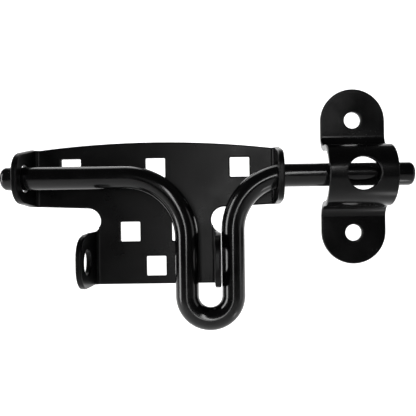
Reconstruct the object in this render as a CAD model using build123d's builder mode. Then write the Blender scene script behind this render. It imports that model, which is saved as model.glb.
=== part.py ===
from build123d import *
import os

# Padlockable slide bolt for a gate: a stamped latch plate with four ears bent forward,
# a round bolt with a bent handle loop, and a hat-shaped strike for the post.
# Millimetres. X runs along the bolt, towards the strike, and Y runs into the gate.
# The plate and the strike stand on the plane Y = 0. The bolt's axis is at Z = 0.

# Stock
bar_d = 12.7
sheet = 3.2
bend_in = 2.2

# Bolt axis in front of the mounting plane, and how much wider the bolt's holes are than the bolt
bar_height = 17.8
bar_play = 2.3

# Upper ears, and the wing of the plate that carries them
ear_gap = 137.2
ear_half = 14.0
ear_front = 13.2
ear_corner = 11.5
wing_top_mid = 21.3
wing_top_end = 17.3
wing_low_end = 15.3

# Lower ears, for the padlock, and the part of the plate that carries them
lock_gap = 68.8
lock_half = 14.3
lock_reach = 34.2
lock_hole_d = 14.0
lock_hole_inset = 13.5
plate_drop = 60.2
notch_radius = 7.5
notch_drop = 23.9
notch_outset = 4.9
lock_root = 27.0

# Square holes for carriage bolts
square = 11.2
square_round = 0.6
top_row_inset = 20.0
top_row_rise = 6.5
pair_pitch = 29.6
pair_drop = 30.0
last_rise = 10.3

# Bolt with its handle loop: its ends past the left ear and the strike, and the loop below the plate
tail_out = 9.6
nose_out = 10.6
split_in = 3.6
tail_round = 3.2
nose_round = 2.4
loop_gap = 12.7
loop_play = 0.3
loop_below = 17.6
left_bend = 33.5
right_bend = 30.0

# Strike, with the room that its arch leaves round the bolt
strike_gap = 23.6
strike_width = 36.9
strike_height = 100.6
arch_play = 7.65
arch_setback = 5.0
flare = 6.5
screw_hole_d = 9.4
screw_inset = 17.95
crown_hole_d = 17.5

# Sizes that follow from those above
bar_hole_d = bar_d + bar_play
half_ears = ear_gap / 2
half_locks = lock_gap / 2
bend_out = bend_in + sheet
bar_reach = bar_height + ear_front
wing_end = half_ears - bend_in
neck_end = half_locks - bend_in
notch_x = half_locks + notch_outset
lock_hole_height = lock_reach - lock_hole_inset
lock_z = lock_half - plate_drop
right_leg = half_locks + sheet + loop_play + bar_d / 2
left_leg = right_leg - loop_gap - bar_d
loop_radius = (right_leg - left_leg) / 2
loop_z = loop_radius - plate_drop - loop_below
top_row_pitch = half_ears - top_row_inset
last_drop = plate_drop - last_rise
tail_x = -half_ears - sheet - tail_out
strike_left = half_ears + sheet + strike_gap
strike_x = strike_left + strike_width / 2
split_x = strike_left + split_in
nose_x = strike_left + strike_width + nose_out
screw_pitch = strike_height - 2 * screw_inset
arch_inside = bar_d / 2 + arch_play
arch_height = bar_height - arch_setback
arch_outside = arch_inside + sheet
flare_z = arch_outside + flare
flare_y = -sheet - flare
half_strike = strike_height / 2

os.makedirs("parts", exist_ok=True)


def eared_strap(half_gap, root_low, root_high, ear_z, half_height, reach):
    """The sheet bent forward into two round-cornered ears, half_gap either side of X = 0."""
    low = min(root_low, ear_z - half_height)
    high = max(root_high, ear_z + half_height)
    corner_y = ear_corner - reach
    corner_z = half_height - ear_corner
    with BuildPart() as strap:
        with BuildSketch(Plane.XY.offset(low)) as outside:
            with Locations((0, -reach / 2)):
                Rectangle(2 * (half_gap + sheet), reach)
            fillet(outside.vertices().group_by(Axis.Y)[-1], radius=bend_out)
        extrude(amount=high - low)
        with BuildSketch(Plane.XY.offset(low)) as inside:
            with Locations((0, -sheet - reach / 2)):
                Rectangle(2 * half_gap, reach)
            fillet(inside.vertices().group_by(Axis.Y)[-1], radius=bend_in)
        extrude(amount=high - low, mode=Mode.SUBTRACT)
        # The side outline: as wide as its root up to the end of the bend, then round-cornered
        with BuildSketch(Plane.YZ):
            with Locations((-bend_out / 2, (root_low + root_high) / 2)):
                Rectangle(bend_out, root_high - root_low)
            with Locations((corner_y, ear_z + corner_z), (corner_y, ear_z - corner_z)):
                Circle(ear_corner)
            make_hull()
        extrude(amount=half_gap + sheet, both=True, mode=Mode.INTERSECT)
    return strap.part

bar_ears = eared_strap(half_ears, -wing_low_end, wing_top_end, 0, ear_half, bar_reach)
lock_ears = eared_strap(half_locks, -plate_drop, -lock_root, lock_z, lock_half, lock_reach)

# Latch plate: one stamping. A crowned wing, a narrower part below it, and four ears
with BuildPart() as latch_plate:
    with BuildSketch(Plane.XZ):
        with BuildLine():
            ThreePointArc((-wing_end, wing_top_end), (0, wing_top_mid), (wing_end, wing_top_end))
            right_side = Polyline(
                (wing_end, wing_top_end),
                (wing_end, -wing_low_end),
                (notch_x, notch_radius - notch_drop),
                (notch_x, -notch_drop),
                (neck_end, -notch_drop),
                (neck_end, -plate_drop),
                (0, -plate_drop),
            )
            mirror(right_side, about=Plane.YZ)
        make_face()
    extrude(amount=sheet)
    add(bar_ears)
    add(lock_ears)
    with BuildSketch(Plane.XZ):
        with Locations((-notch_x, -notch_drop), (notch_x, -notch_drop)):
            Circle(notch_radius)
    extrude(amount=lock_reach, mode=Mode.SUBTRACT)
    with BuildSketch(Plane.YZ):
        with Locations((-bar_height, 0)):
            Circle(bar_hole_d / 2)
        with Locations((-lock_hole_height, lock_z)):
            Circle(lock_hole_d / 2)
    extrude(amount=half_ears + sheet, both=True, mode=Mode.SUBTRACT)
    with BuildSketch(Plane.XZ):
        with Locations(
            (-top_row_pitch, top_row_rise),
            (0, top_row_rise),
            (top_row_pitch, top_row_rise),
            (-pair_pitch / 2, -pair_drop),
            (pair_pitch / 2, -pair_drop),
            (0, -last_drop),
        ):
            RectangleRounded(square, square, square_round)
    extrude(amount=sheet, mode=Mode.SUBTRACT)
latch_plate.part.label = "latch_plate"
export_step(latch_plate.part, "parts/latch_plate.step")

# Bolt: a round bar bent into a handle loop. Its straight front length is bolt_nose
with BuildPart() as bolt_handle:
    with BuildLine(Plane.XZ.offset(bar_height)) as route:
        Line((tail_x, 0), (left_leg - left_bend, 0))
        CenterArc((left_leg - left_bend, -left_bend), left_bend, 90, -90)
        Line((left_leg, -left_bend), (left_leg, loop_z))
        CenterArc((left_leg + loop_radius, loop_z), loop_radius, 180, 180)
        Line((right_leg, loop_z), (right_leg, -right_bend))
        CenterArc((right_leg + right_bend, -right_bend), right_bend, 180, -90)
        Line((right_leg + right_bend, 0), (split_x, 0))
    with BuildSketch(Plane.YZ.offset(tail_x)):
        with Locations((-bar_height, 0)):
            Circle(bar_d / 2)
    sweep(path=route.wires()[0])
    tail_edge = bolt_handle.edges().filter_by(GeomType.CIRCLE).sort_by(Axis.X)[0]
    fillet(tail_edge, radius=tail_round)
bolt_handle.part.label = "bolt_handle"
export_step(bolt_handle.part, "parts/bolt_handle.step")

with BuildPart() as bolt_nose:
    with BuildSketch(Plane.YZ.offset(split_x)):
        with Locations((-bar_height, 0)):
            Circle(bar_d / 2)
    extrude(amount=nose_x - split_x)
    fillet(bolt_nose.edges().filter_by(GeomType.CIRCLE).sort_by(Axis.X)[-1], radius=nose_round)
bolt_nose.part.label = "bolt_nose"
export_step(bolt_nose.part, "parts/bolt_nose.step")

# Strike: a strap bent over the bolt, with a half-round foot above and below
with BuildPart() as strike:
    with BuildSketch(Plane.YZ.offset(strike_x)):
        with BuildLine():
            Line((0, half_strike), (0, flare_z))
            CenterArc((flare_y, flare_z), flare + sheet, 0, -90)
            Line((flare_y, arch_inside), (-arch_height, arch_inside))
            CenterArc((-arch_height, 0), arch_inside, 90, 90)
            CenterArc((-arch_height, 0), arch_outside, 180, -90)
            Line((-arch_height, arch_outside), (flare_y, arch_outside))
            CenterArc((flare_y, flare_z), flare, -90, 90)
            Line((-sheet, flare_z), (-sheet, half_strike))
            Line((-sheet, half_strike), (0, half_strike))
            Line((-arch_height - arch_inside, 0), (-arch_height - arch_outside, 0))
        make_face()
        mirror(about=Plane.XZ)
    extrude(amount=strike_width / 2, both=True)
    with BuildSketch(Plane.XZ):
        with Locations((strike_x, 0)):
            SlotOverall(strike_height, strike_width, rotation=90)
    extrude(amount=arch_height + arch_outside, mode=Mode.INTERSECT)
    with BuildSketch(Plane.XZ):
        with Locations((strike_x, screw_pitch / 2), (strike_x, -screw_pitch / 2)):
            Circle(screw_hole_d / 2)
    extrude(amount=sheet, mode=Mode.SUBTRACT)
    with BuildSketch(Plane.XZ.offset(arch_height)):
        with Locations((strike_x, 0)):
            Circle(crown_hole_d / 2)
    extrude(amount=arch_outside, mode=Mode.SUBTRACT)
strike.part.label = "strike"
export_step(strike.part, "parts/strike.step")
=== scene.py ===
import bpy
import bmesh
import math
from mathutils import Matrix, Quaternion, Vector


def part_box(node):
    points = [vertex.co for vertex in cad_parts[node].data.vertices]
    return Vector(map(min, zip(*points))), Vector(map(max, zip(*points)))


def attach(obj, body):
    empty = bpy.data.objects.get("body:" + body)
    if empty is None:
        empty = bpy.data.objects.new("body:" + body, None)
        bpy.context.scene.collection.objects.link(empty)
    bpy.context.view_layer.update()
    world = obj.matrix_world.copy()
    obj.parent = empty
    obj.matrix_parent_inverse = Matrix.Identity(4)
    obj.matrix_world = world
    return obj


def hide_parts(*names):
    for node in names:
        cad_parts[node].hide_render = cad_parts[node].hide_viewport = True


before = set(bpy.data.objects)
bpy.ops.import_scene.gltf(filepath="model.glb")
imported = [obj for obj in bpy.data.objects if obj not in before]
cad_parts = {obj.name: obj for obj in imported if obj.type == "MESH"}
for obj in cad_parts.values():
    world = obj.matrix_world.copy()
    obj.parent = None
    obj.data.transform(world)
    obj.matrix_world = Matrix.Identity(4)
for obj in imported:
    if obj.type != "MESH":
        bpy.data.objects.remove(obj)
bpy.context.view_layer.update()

# ---------------------------------------------------------------- studio
# The camera looks straight at the face of the gate, as a catalogue picture does, from
# a little below the bolt and right of the plate's middle.
camera_data = bpy.data.cameras.new("camera")
camera_data.sensor_width = 36
camera_data.lens = 44.83
camera_data.shift_x = -0.0529
camera_data.shift_y = 0.0216
camera_data.clip_start = 0.01
camera_data.clip_end = 20
camera = bpy.data.objects.new("camera", camera_data)
camera.location = (0.0427, -0.3012, -0.0224)
camera.rotation_euler = (math.radians(90), math.radians(0.8), 0)
bpy.context.scene.collection.objects.link(camera)
bpy.context.scene.camera = camera
bpy.context.scene.view_settings.view_transform = "Standard"

# A lit white sweep: the floor below the latch and the wall behind it are one sheet, which
# glows a little so that it stays clean white.
bpy.ops.object.select_all(action="DESELECT")
bpy.ops.mesh.primitive_plane_add(size=1, location=(0, 0, -0.32))
sweep = bpy.context.object
sweep.name = "studio_floor"
sweep.scale = (5.0, 3.4, 1)
bpy.ops.object.transform_apply(location=True, rotation=True, scale=True)
sweep_mesh = bmesh.new()
sweep_mesh.from_mesh(sweep.data)
sweep_mesh.edges.ensure_lookup_table()
back_edge = max(sweep_mesh.edges, key=lambda e: sum(v.co.y for v in e.verts))
raised = bmesh.ops.extrude_edge_only(sweep_mesh, edges=[back_edge])
for vert in (g for g in raised["geom"] if isinstance(g, bmesh.types.BMVert)):
    vert.co.z += 2.4
sweep_mesh.to_mesh(sweep.data)
sweep_mesh.free()
rounding = sweep.modifiers.new("rounding", "BEVEL")
rounding.width = 0.5
rounding.segments = 16
bpy.ops.object.modifier_apply(modifier="rounding")
bpy.ops.object.shade_smooth()
sweep_paint = bpy.data.materials.new("studio_white")
sweep_paint.use_nodes = True
sweep_shader = sweep_paint.node_tree.nodes["Principled BSDF"]
sweep_shader.inputs["Base Color"].default_value = (0.9, 0.9, 0.9, 1)
sweep_shader.inputs["Roughness"].default_value = 0.9
sweep_shader.inputs["Emission Color"].default_value = (1, 1, 1, 1)
sweep_shader.inputs["Emission Strength"].default_value = 1.0
sweep_nodes = sweep_paint.node_tree
sweep_place = sweep_nodes.nodes.new("ShaderNodeTexCoord")
sweep_axes = sweep_nodes.nodes.new("ShaderNodeSeparateXYZ")
sweep_fade = sweep_nodes.nodes.new("ShaderNodeMapRange")
sweep_fade.interpolation_type = "SMOOTHSTEP"
for key, value in {"From Min": -0.45, "From Max": 0.60, "To Min": 0.02, "To Max": 1.0}.items():
    sweep_fade.inputs[key].default_value = value
sweep_nodes.links.new(sweep_place.outputs["Object"], sweep_axes.inputs["Vector"])
sweep_nodes.links.new(sweep_axes.outputs["Y"], sweep_fade.inputs["Value"])
sweep_nodes.links.new(sweep_fade.outputs["Result"], sweep_shader.inputs["Emission Color"])
sweep.data.materials.append(sweep_paint)

room = bpy.data.worlds.new("room")
room.use_nodes = True
room.node_tree.nodes["Background"].inputs["Color"].default_value = (0.04, 0.04, 0.04, 1)
bpy.context.scene.world = room


# The lights all face the middle of the latch.
latch_middle = Vector((0.03, -0.018, -0.02))


def softbox(name, azimuth, elevation, distance, width, height, glow, tilt=0):
    """A rectangular light that faces the latch. Azimuth 0 is on the camera's side, 90 on the right.
    A tilt leans its top to the right."""
    across = math.cos(math.radians(elevation))
    way = Vector((
        math.sin(math.radians(azimuth)) * across,
        -math.cos(math.radians(azimuth)) * across,
        math.sin(math.radians(elevation)),
    ))
    light = bpy.data.lights.new(name, "AREA")
    light.shape = "RECTANGLE"
    light.size = width
    light.size_y = height
    light.energy = glow * width * height * math.pi
    lamp = bpy.data.objects.new(name, light)
    lamp.location = latch_middle + way * distance
    facing = way.to_track_quat("Z", "Y")
    facing.rotate(Quaternion(way, math.radians(-tilt)))
    lamp.rotation_euler = facing.to_euler()
    bpy.context.scene.collection.objects.link(lamp)


# One box above and behind lights the bar's top, strips on the left and in front draw its
# streaks, and the rest fill in dimly.
softbox("overhead_box", -150, 57, 0.9, 0.42, 0.50, 2.0)
softbox("left_strip", -70, 2, 0.9, 0.26, 1.1, 7.0)
softbox("front_strip", 6, 13, 1.1, 0.12, 0.74, 7.5, 27)
softbox("front_low", -3, -8, 1.1, 0.09, 0.26, 5.0)
softbox("front_fill", -1, 12, 1.2, 0.40, 0.36, 0.20)
softbox("right_strip", 74, 0, 0.9, 0.30, 0.9, 0.9)
softbox("low_card", 74, -50, 0.30, 0.07, 0.05, 3.0)


# ---------------------------------------------------------------- latch plate
# The plate is one blank stamped from 3.2 mm steel sheet, with its four ears bent forward in
# a press. The tool leaves its rims slightly rounded, and it is coated gloss black all over.
class Value:
    """One number or colour in a material, so that shader maths is written as an expression."""

    def __init__(self, paint, socket):
        self.paint = paint
        self.socket = socket

    def maths(self, operation, *values):
        return self.paint.node("ShaderNodeMath", {"operation": operation}, dict(enumerate(values)))["Value"]

    def __add__(self, other):
        return self.maths("ADD", self, other)

    def __radd__(self, other):
        return self.maths("ADD", other, self)

    def __sub__(self, other):
        return self.maths("SUBTRACT", self, other)

    def __rsub__(self, other):
        return self.maths("SUBTRACT", other, self)

    def __mul__(self, other):
        return self.maths("MULTIPLY", self, other)

    def __rmul__(self, other):
        return self.maths("MULTIPLY", other, self)

    def above(self, low, high):
        """0 up to low, 1 from high on, and smooth between them."""
        ramp = {"interpolation_type": "SMOOTHSTEP"}
        span = {"Value": self, "From Min": low, "From Max": high}
        return self.paint.node("ShaderNodeMapRange", ramp, span)["Result"]


class Paint:
    """A node material with one surface shader."""

    def __init__(self, name):
        self.material = bpy.data.materials.new(name)
        self.material.use_nodes = True
        self.tree = self.material.node_tree
        self.surface = self.tree.nodes["Principled BSDF"]

    def node(self, kind, settings, inputs):
        """Adds a node, applies its settings, then its values or links, and returns its outputs by name."""
        made = self.tree.nodes.new(kind)
        for key, value in settings.items():
            setattr(made, key, value)
        self.fill(made, inputs)
        return {out.name: Value(self, out) for out in made.outputs if out.enabled}

    def fill(self, made, inputs):
        for key, value in inputs.items():
            if isinstance(value, Value):
                self.tree.links.new(value.socket, made.inputs[key])
            else:
                made.inputs[key].default_value = value


def black_coating(name, grain, gloss, peel, index, painted_rim_highlight):
    """Black enamel baked on steel. grain stretches what shows through from the steel, in three directions.
    The last argument sets how light the edges are painted, a painted highlight for the light the rounded rims
    catch."""
    paint = Paint(name)
    place = paint.node("ShaderNodeTexCoord", {}, {})["Object"]
    stretched = paint.node("ShaderNodeMapping", {}, {"Vector": place, "Scale": grain})["Vector"]
    clouds = paint.node("ShaderNodeTexNoise", {}, {"Vector": place, "Scale": 55, "Detail": 3})["Fac"]
    steel = paint.node("ShaderNodeTexNoise", {}, {"Vector": stretched, "Scale": 260, "Detail": 4})["Fac"]
    orange_peel = paint.node("ShaderNodeTexNoise", {}, {"Vector": place, "Scale": 620, "Detail": 2})["Fac"]
    cells = paint.node("ShaderNodeTexVoronoi", {}, {"Vector": place, "Scale": 420})["Distance"]
    dust = 1 - cells.above(0.05, 0.16)
    dust = dust * clouds.above(0.52, 0.62)
    # A rounded normal leaves the plain one only along the edges, where the black gets a painted highlight for
    # the light the rims catch and is made a little rougher
    straight = paint.node("ShaderNodeNewGeometry", {}, {})["Normal"]
    eased = paint.node("ShaderNodeBevel", {"samples": 6}, {"Radius": 0.0006})["Normal"]
    agree = paint.node("ShaderNodeVectorMath", {"operation": "DOT_PRODUCT"}, {0: straight, 1: eased})["Value"]
    edge = (1 - agree).above(0.01, 0.12)
    shade = paint.node("ShaderNodeMix", {"data_type": "RGBA"}, {
        "Factor": clouds.above(0.3, 0.7), "A": (0.0012, 0.0012, 0.0014, 1), "B": (0.0024, 0.0024, 0.0026, 1)})
    # Dust specks and a painted highlight along the edges lighten the black.
    dust_and_rim_highlight = paint.node("ShaderNodeMix", {"data_type": "RGBA"}, {
        "Factor": edge * 0.5 + dust * 0.25, "A": shade["Result"], "B": (painted_rim_highlight, painted_rim_highlight, painted_rim_highlight * 1.08, 1)})
    roughness = gloss + clouds.above(0.25, 0.75) * 0.09 + steel * 0.04 + dust * 0.25 + edge * 0.06
    height = orange_peel * peel + steel * (peel * 0.6) + dust * (peel * 1.6)
    relief = paint.node("ShaderNodeBump", {}, {"Height": height, "Strength": 1.0, "Distance": 0.00001})
    paint.fill(paint.surface, {
        "Base Color": dust_and_rim_highlight["Result"],
        "Roughness": roughness,
        "Normal": relief["Normal"],
        "IOR": index,
    })
    return paint.material


def rounded_copy(node, name, rim):
    """A copy of a pressed piece with its sharp rims rounded, as the press and the coating leave them."""
    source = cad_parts[node]
    bpy.ops.object.select_all(action="DESELECT")
    piece = bpy.data.objects.new(name, source.data.copy())
    bpy.context.scene.collection.objects.link(piece)
    piece.data.materials.clear()
    piece.select_set(True)
    bpy.context.view_layer.objects.active = piece
    bpy.ops.object.mode_set(mode="EDIT")
    bpy.ops.mesh.select_all(action="SELECT")
    bpy.ops.mesh.customdata_custom_splitnormals_clear()
    bpy.ops.mesh.remove_doubles(threshold=0.000002)
    bpy.ops.mesh.dissolve_limited(angle_limit=math.radians(0.4))
    bpy.ops.object.mode_set(mode="OBJECT")
    rounded = piece.modifiers.new("rims", "BEVEL")
    rounded.limit_method = "ANGLE"
    rounded.angle_limit = math.radians(35)
    rounded.width = rim
    rounded.segments = 3
    rounded.use_clamp_overlap = False
    rounded.miter_outer = "MITER_ARC"
    rounded.face_strength_mode = "FSTR_ALL"
    rounded.loop_slide = False
    bpy.ops.object.modifier_apply(modifier="rims")
    # The mitred corners can swell past the pressed piece by a hair, so they are held to its box
    low, high = (Vector(corner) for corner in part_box(node))
    for vert in piece.data.vertices:
        vert.co = [max(least, min(most, at)) for least, most, at in zip(low, high, vert.co)]
    bpy.ops.object.shade_smooth_by_angle(angle=math.radians(38))
    flats = piece.modifiers.new("flats", "WEIGHTED_NORMAL")
    flats.weight = 100
    flats.keep_sharp = True
    flats.use_face_influence = True
    bpy.ops.object.modifier_apply(modifier="flats")
    return piece


plate = rounded_copy("latch_plate", "latch_plate_coated", 0.0008)
plate.data.materials.append(black_coating("plate_black", (1.0, 1.0, 1.0), 0.24, 1.10, 1.27, 0.05))
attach(plate, "plate")
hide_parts("latch_plate")


# ---------------------------------------------------------------- bolt
# The bolt is one 12.7 mm round bar. Its tail is rounded over, two bends and a half turn make the
# handle loop, and the straight front end shoots into the strike. It is coated after bending.
low, high = (Vector(corner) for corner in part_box("bolt_handle"))
bar_radius = (high.y - low.y) / 2
bar_y = (high.y + low.y) / 2
tail_rounding = 0.0032
left_bend = 0.0335
right_bend = 0.0300
loop_gap = 0.0127
right_leg = 0.04425
left_leg = right_leg - loop_gap - 2 * bar_radius
loop_bend = (right_leg - left_leg) / 2
loop_z = low.z + bar_radius + loop_bend


def bar_start(name, x, rounding, towards):
    """The end of a round bar at x, rounded over, with its last ring selected.
    towards is 1 if the bar runs to +X and -1 if it runs to -X."""
    bpy.ops.object.select_all(action="DESELECT")
    bpy.ops.mesh.primitive_circle_add(
        vertices=64, radius=bar_radius - rounding, fill_type="NGON",
        location=(x, bar_y, 0), rotation=(0, math.radians(90), 0))
    piece = bpy.context.object
    piece.name = name
    bpy.ops.object.transform_apply(location=True, rotation=True, scale=True)
    bpy.ops.object.mode_set(mode="EDIT")
    bpy.ops.mesh.select_mode(type="EDGE")
    bpy.ops.mesh.select_all(action="SELECT")
    bpy.ops.mesh.delete(type="ONLY_FACE")
    bpy.ops.mesh.select_all(action="SELECT")
    steps = 8
    at, width = 0.0, bar_radius - rounding
    for step in range(1, steps + 1):
        quarter = math.radians(90 * step / steps)
        ahead = rounding * (1 - math.cos(quarter))
        wide = bar_radius - rounding + rounding * math.sin(quarter)
        bpy.ops.mesh.extrude_region_move(TRANSFORM_OT_translate={"value": (towards * (ahead - at), 0, 0)})
        bpy.ops.transform.resize(
            value=(1, wide / width, wide / width), center_override=(x + towards * ahead, bar_y, 0))
        at, width = ahead, wide
    return piece


def run(dx, dz, steps):
    """The bar goes straight on, in equal steps."""
    for step in range(steps):
        bpy.ops.mesh.extrude_region_move(TRANSFORM_OT_translate={"value": (dx / steps, 0, dz / steps)})


def turn(x, z, degrees, steps):
    """The bar bends round a point in its own plane. Positive degrees turn from +X towards -Z."""
    bpy.ops.mesh.spin(steps=steps, angle=math.radians(-degrees), center=(x, bar_y, z), axis=(0, 1, 0))


def bar_finish(piece):
    """Closes both ends of the bar and smooths it."""
    bpy.ops.mesh.select_all(action="SELECT")
    bpy.ops.mesh.remove_doubles(threshold=0.000001)
    bpy.ops.mesh.select_all(action="DESELECT")
    bpy.ops.mesh.select_non_manifold()
    bpy.ops.mesh.edge_face_add()
    bpy.ops.mesh.select_all(action="SELECT")
    bpy.ops.mesh.normals_make_consistent(inside=False)
    bpy.ops.object.mode_set(mode="OBJECT")
    bpy.ops.object.shade_smooth_by_angle(angle=math.radians(40))


handle = bar_start("bolt_handle_coated", low.x, tail_rounding, 1)
run(left_leg - left_bend - low.x - tail_rounding, 0, 12)
turn(left_leg - left_bend, -left_bend, 90, 24)
run(0, loop_z + left_bend, 8)
turn(left_leg + loop_bend, loop_z, -180, 40)
run(0, -right_bend - loop_z, 8)
turn(right_leg + right_bend, -right_bend, 90, 24)
run(high.x - right_leg - right_bend, 0, 6)
bar_finish(handle)
handle.data.materials.append(black_coating("bolt_black", (0.12, 1.0, 1.0), 0.09, 0.60, 1.5, 0.010))
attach(handle, "handle")
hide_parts("bolt_handle")

nose_low, nose_high = (Vector(corner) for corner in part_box("bolt_nose"))
nose_rounding = 0.0024
nose = bar_start("bolt_nose_coated", nose_high.x, nose_rounding, -1)
run(nose_low.x - nose_high.x + nose_rounding, 0, 8)
bar_finish(nose)
nose.data.materials.append(handle.data.materials[0])
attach(nose, "nose")
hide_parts("bolt_nose")


# ---------------------------------------------------------------- strike
# The strike is a strap of the same sheet with half-round ends, bent into a hat over the bolt.
# Two round holes take the post's screws, and a third in its crown shows the bolt.
strike = rounded_copy("strike", "strike_coated", 0.0008)
strike.data.materials.append(black_coating("strike_black", (1.0, 1.0, 0.25), 0.13, 0.55, 1.36, 0.04))
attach(strike, "post_strike")
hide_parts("strike")
